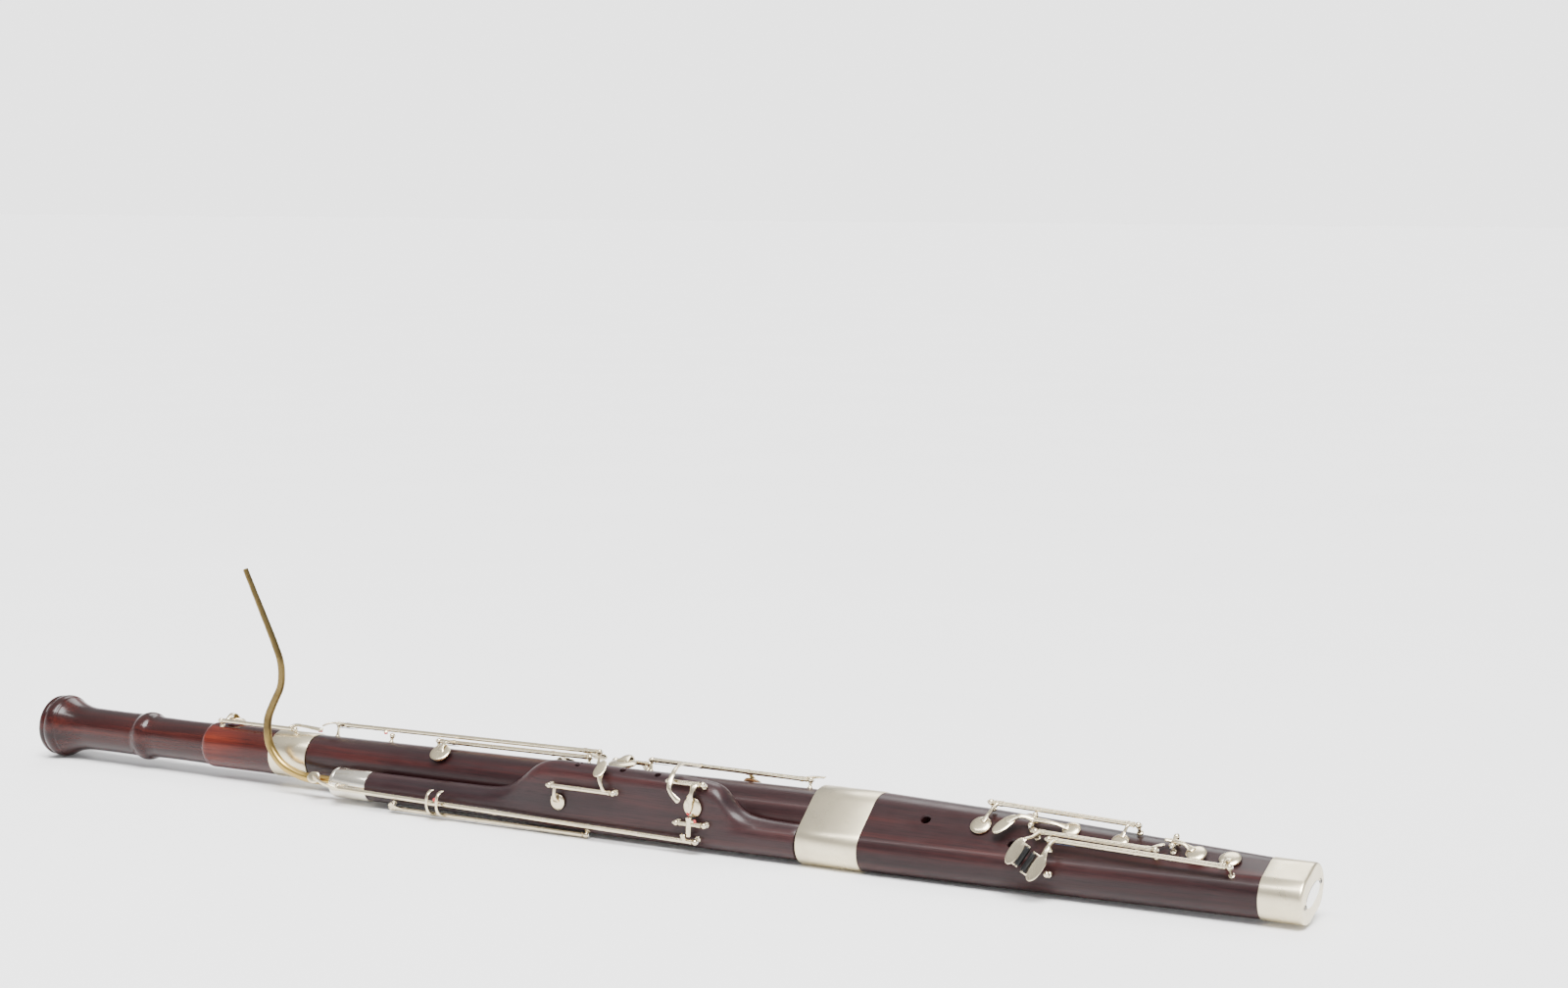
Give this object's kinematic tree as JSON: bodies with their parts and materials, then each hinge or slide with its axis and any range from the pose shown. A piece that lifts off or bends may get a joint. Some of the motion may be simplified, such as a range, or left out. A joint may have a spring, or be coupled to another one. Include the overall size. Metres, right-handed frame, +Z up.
{
  "type": "bassoon",
  "caption": "French-pattern bassoon in dark rosewood with nickel-silver keys, bocal fitted, lying on its side.",
  "frame": {"origin": "on the floor under the middle of the instrument's bounding box", "axes": "+X from the bell mouth to the boot cap, +Y away from the wing joint side, +Z up from the floor"},
  "size_m": [1.33, 0.105, 0.2153],
  "materials": {
    "rosewood": "satin lacquered dark rosewood",
    "bell_wood": "glossy lacquered rosewood, redder toward the socket",
    "nickel_silver": "worn plated nickel silver, satin",
    "ferrule_metal": "polished plated nickel silver with scratches",
    "steel_rod": "drawn steel",
    "blued_spring": "blued steel wire",
    "bocal_brass": "worn lacquered brass",
    "cork": "matte cork",
    "pad_leather": "tan kid leather",
    "thread_lapping": "waxed thread",
    "gasket_rubber": "matte",
    "roller_black": "polished black"
  },
  "bodies": {
    "boot": {"boot_body": "rosewood", "boot_ferrule": "ferrule_metal", "boot_cap": "ferrule_metal", "boot_cap_plate": "nickel_silver", "boot_cap_screws": "steel_rod", "boot_gasket": "gasket_rubber", "boot_u_bend": "bocal_brass", "boot_posts": "nickel_silver", "boot_hinge_rods": "steel_rod", "boot_springs": "blued_spring"},
    "long_joint": {"long_body": "rosewood", "long_upper_lapping": "thread_lapping", "long_lower_lapping": "thread_lapping", "long_posts": "nickel_silver", "long_hinge_rods": "steel_rod", "long_springs": "blued_spring"},
    "wing_joint": {"wing_body": "rosewood", "wing_ferrule": "ferrule_metal", "wing_lapping": "thread_lapping", "wing_posts": "nickel_silver", "wing_hinge_rods": "steel_rod", "wing_springs": "blued_spring"},
    "bell": {"bell_body": "bell_wood", "bell_ferrule": "ferrule_metal", "bell_posts": "nickel_silver", "bell_hinge_rods": "steel_rod", "bell_springs": "blued_spring"},
    "bocal": {"bocal_tube": "bocal_brass", "bocal_cork": "cork"},
    "bell_key": {"bell_key": "nickel_silver", "bell_key_pad": "pad_leather"},
    "bell_link_key": {"bell_link_key": "nickel_silver"},
    "low_b_key": {"low_b_key": "nickel_silver", "low_b_pad": "pad_leather"},
    "low_c_key": {"low_c_key": "nickel_silver", "low_c_pad": "pad_leather"},
    "low_d_key": {"low_d_key": "nickel_silver", "low_d_pad": "pad_leather"},
    "g_key": {"wing_g_key": "nickel_silver", "wing_g_pad": "pad_leather"},
    "transfer_key": {"transfer_key": "nickel_silver", "transfer_pad": "pad_leather"},
    "rocker_key": {"rocker_key": "nickel_silver"},
    "crook_key": {"crook_key": "nickel_silver", "crook_pad": "pad_leather"},
    "octave_link": {"octave_link": "nickel_silver"},
    "a_c_key": {"a_c_key": "nickel_silver", "a_c_pads": "pad_leather"},
    "b_lever": {"b_lever": "nickel_silver", "b_lever_pad": "pad_leather"},
    "f_key": {"f_key": "nickel_silver"},
    "f_roller": {"f_key_roller": "roller_black"},
    "d_lever": {"d_lever": "nickel_silver", "d_lever_pad": "pad_leather"},
    "a_flat_key": {"a_flat_key": "nickel_silver", "a_flat_pad": "pad_leather"},
    "a_flat_roller": {"a_flat_roller": "roller_black"},
    "thumb_key": {"thumb_key": "nickel_silver", "thumb_key_pad": "pad_leather"}
  },
  "joints": [
    {"name": "long_joint_pull", "type": "slide", "parent": "boot", "child": "long_joint", "axis": [-1, 0, 0], "range_m": [0, 0.045]},
    {"name": "wing_joint_pull", "type": "slide", "parent": "boot", "child": "wing_joint", "axis": [-1, 0, 0], "range_m": [0, 0.045]},
    {"name": "bell_pull", "type": "slide", "parent": "long_joint", "child": "bell", "axis": [-1, 0, 0], "range_m": [0, 0.042]},
    {"name": "bocal_turn", "type": "hinge", "parent": "wing_joint", "child": "bocal", "pos_m": [-0.313, -0.02046, 0.01861], "axis": [1, 0, 0], "range_deg": [-5, 35]},
    {"name": "bell_key_hinge", "type": "hinge", "parent": "bell", "child": "bell_key", "pos_m": [-0.3975, 0.00693, 0.0573], "axis": [1, 0, 0], "range_deg": [-8.4, 0], "stiffness_Nm_per_rad": 0.01},
    {"name": "bell_link_hinge", "type": "hinge", "parent": "long_joint", "child": "bell_link_key", "pos_m": [-0.163, 0.02293, 0.0648], "axis": [1, 0, 0.0095], "range_deg": [0, 5.6], "stiffness_Nm_per_rad": 0.02},
    {"name": "low_b_hinge", "type": "hinge", "parent": "long_joint", "child": "low_b_key", "pos_m": [-0.109, 0.02193, 0.0596], "axis": [1, 0, 0.0083], "range_deg": [0, 6.5], "stiffness_Nm_per_rad": 0.02},
    {"name": "low_c_hinge", "type": "hinge", "parent": "long_joint", "child": "low_c_key", "pos_m": [0.016, 0.02993, 0.0586], "axis": [1, 0, 0], "range_deg": [0, 9.5], "stiffness_Nm_per_rad": 0.02},
    {"name": "low_d_hinge", "type": "hinge", "parent": "long_joint", "child": "low_d_key", "pos_m": [0.122, 0.02293, 0.064], "axis": [1, 0, -0.0074], "range_deg": [0, 4], "stiffness_Nm_per_rad": 0.02},
    {"name": "g_key_hinge", "type": "hinge", "parent": "wing_joint", "child": "g_key", "pos_m": [0.0055, -0.04067, 0.0463], "axis": [1, 0, -0.009], "range_deg": [-10, 0], "stiffness_Nm_per_rad": 0.02},
    {"name": "transfer_hinge", "type": "hinge", "parent": "wing_joint", "child": "transfer_key", "pos_m": [0.111, -0.03557, 0.0622], "axis": [1, 0, 0], "range_deg": [-7, 0], "stiffness_Nm_per_rad": 0.02},
    {"name": "rocker_hinge", "type": "hinge", "parent": "wing_joint", "child": "rocker_key", "pos_m": [0.118, -0.04107, 0.0275], "axis": [1, 0, 0], "range_deg": [-5, 5], "stiffness_Nm_per_rad": 0.02},
    {"name": "crook_key_hinge", "type": "hinge", "parent": "wing_joint", "child": "crook_key", "pos_m": [-0.0735, -0.04107, 0.01515], "axis": [0.9999, 0, -0.0155], "range_deg": [0, 8], "stiffness_Nm_per_rad": 0.02},
    {"name": "octave_link_hinge", "type": "hinge", "parent": "wing_joint", "child": "octave_link", "pos_m": [-0.1005, -0.03387, 0.00405], "axis": [1, 0.0019, -0.0061], "range_deg": [0, 5], "stiffness_Nm_per_rad": 0.02},
    {"name": "a_c_key_hinge", "type": "hinge", "parent": "boot", "child": "a_c_key", "pos_m": [0.45, 0.0028, 0.06537], "axis": [0.999, 0.0156, -0.0412], "range_deg": [-9, 0], "stiffness_Nm_per_rad": 0.02},
    {"name": "b_lever_hinge", "type": "hinge", "parent": "boot", "child": "b_lever", "pos_m": [0.426, -0.00527, 0.05861], "axis": [0, -0.8095, -0.5872], "range_deg": [0, 5], "stiffness_Nm_per_rad": 0.02},
    {"name": "f_key_hinge", "type": "hinge", "parent": "boot", "child": "f_key", "pos_m": [0.4855, -0.01703, 0.051], "axis": [0.9996, -0.0094, -0.0281], "range_deg": [0, 7], "stiffness_Nm_per_rad": 0.02},
    {"name": "d_lever_hinge", "type": "hinge", "parent": "boot", "child": "d_lever", "pos_m": [0.549, -0.00381, 0.05491], "axis": [0, -0.8802, -0.4746], "range_deg": [-5, 0], "stiffness_Nm_per_rad": 0.02},
    {"name": "a_flat_hinge", "type": "hinge", "parent": "boot", "child": "a_flat_key", "pos_m": [0.526, -0.02557, 0.0473], "axis": [0.9995, -0.0243, -0.0218], "range_deg": [0, 7], "stiffness_Nm_per_rad": 0.02},
    {"name": "thumb_key_hinge", "type": "hinge", "parent": "boot", "child": "thumb_key", "pos_m": [0.3705, 0.04763, 0.03399], "axis": [0.999, -0.043, -0.0093], "range_deg": [-8, 0], "stiffness_Nm_per_rad": 0.02},
    {"name": "f_roller_spin", "type": "hinge", "parent": "f_key", "child": "f_roller", "pos_m": [0.4336, -0.04357, 0.0376], "axis": [0.43, 0.4027, 0.808], "continuous": true},
    {"name": "a_flat_roller_spin", "type": "hinge", "parent": "a_flat_key", "child": "a_flat_roller", "pos_m": [0.4394, -0.04527, 0.0336], "axis": [0.43, 0.4027, 0.808], "continuous": true}
  ],
  "couplings": [
    {"joint": "wing_joint_pull", "follows": "long_joint_pull", "ratio": 1},
    {"joint": "bell_key_hinge", "follows": "bell_link_hinge", "ratio": -1.5},
    {"joint": "d_lever_hinge", "follows": "f_key_hinge", "ratio": -0.7}
  ]
}
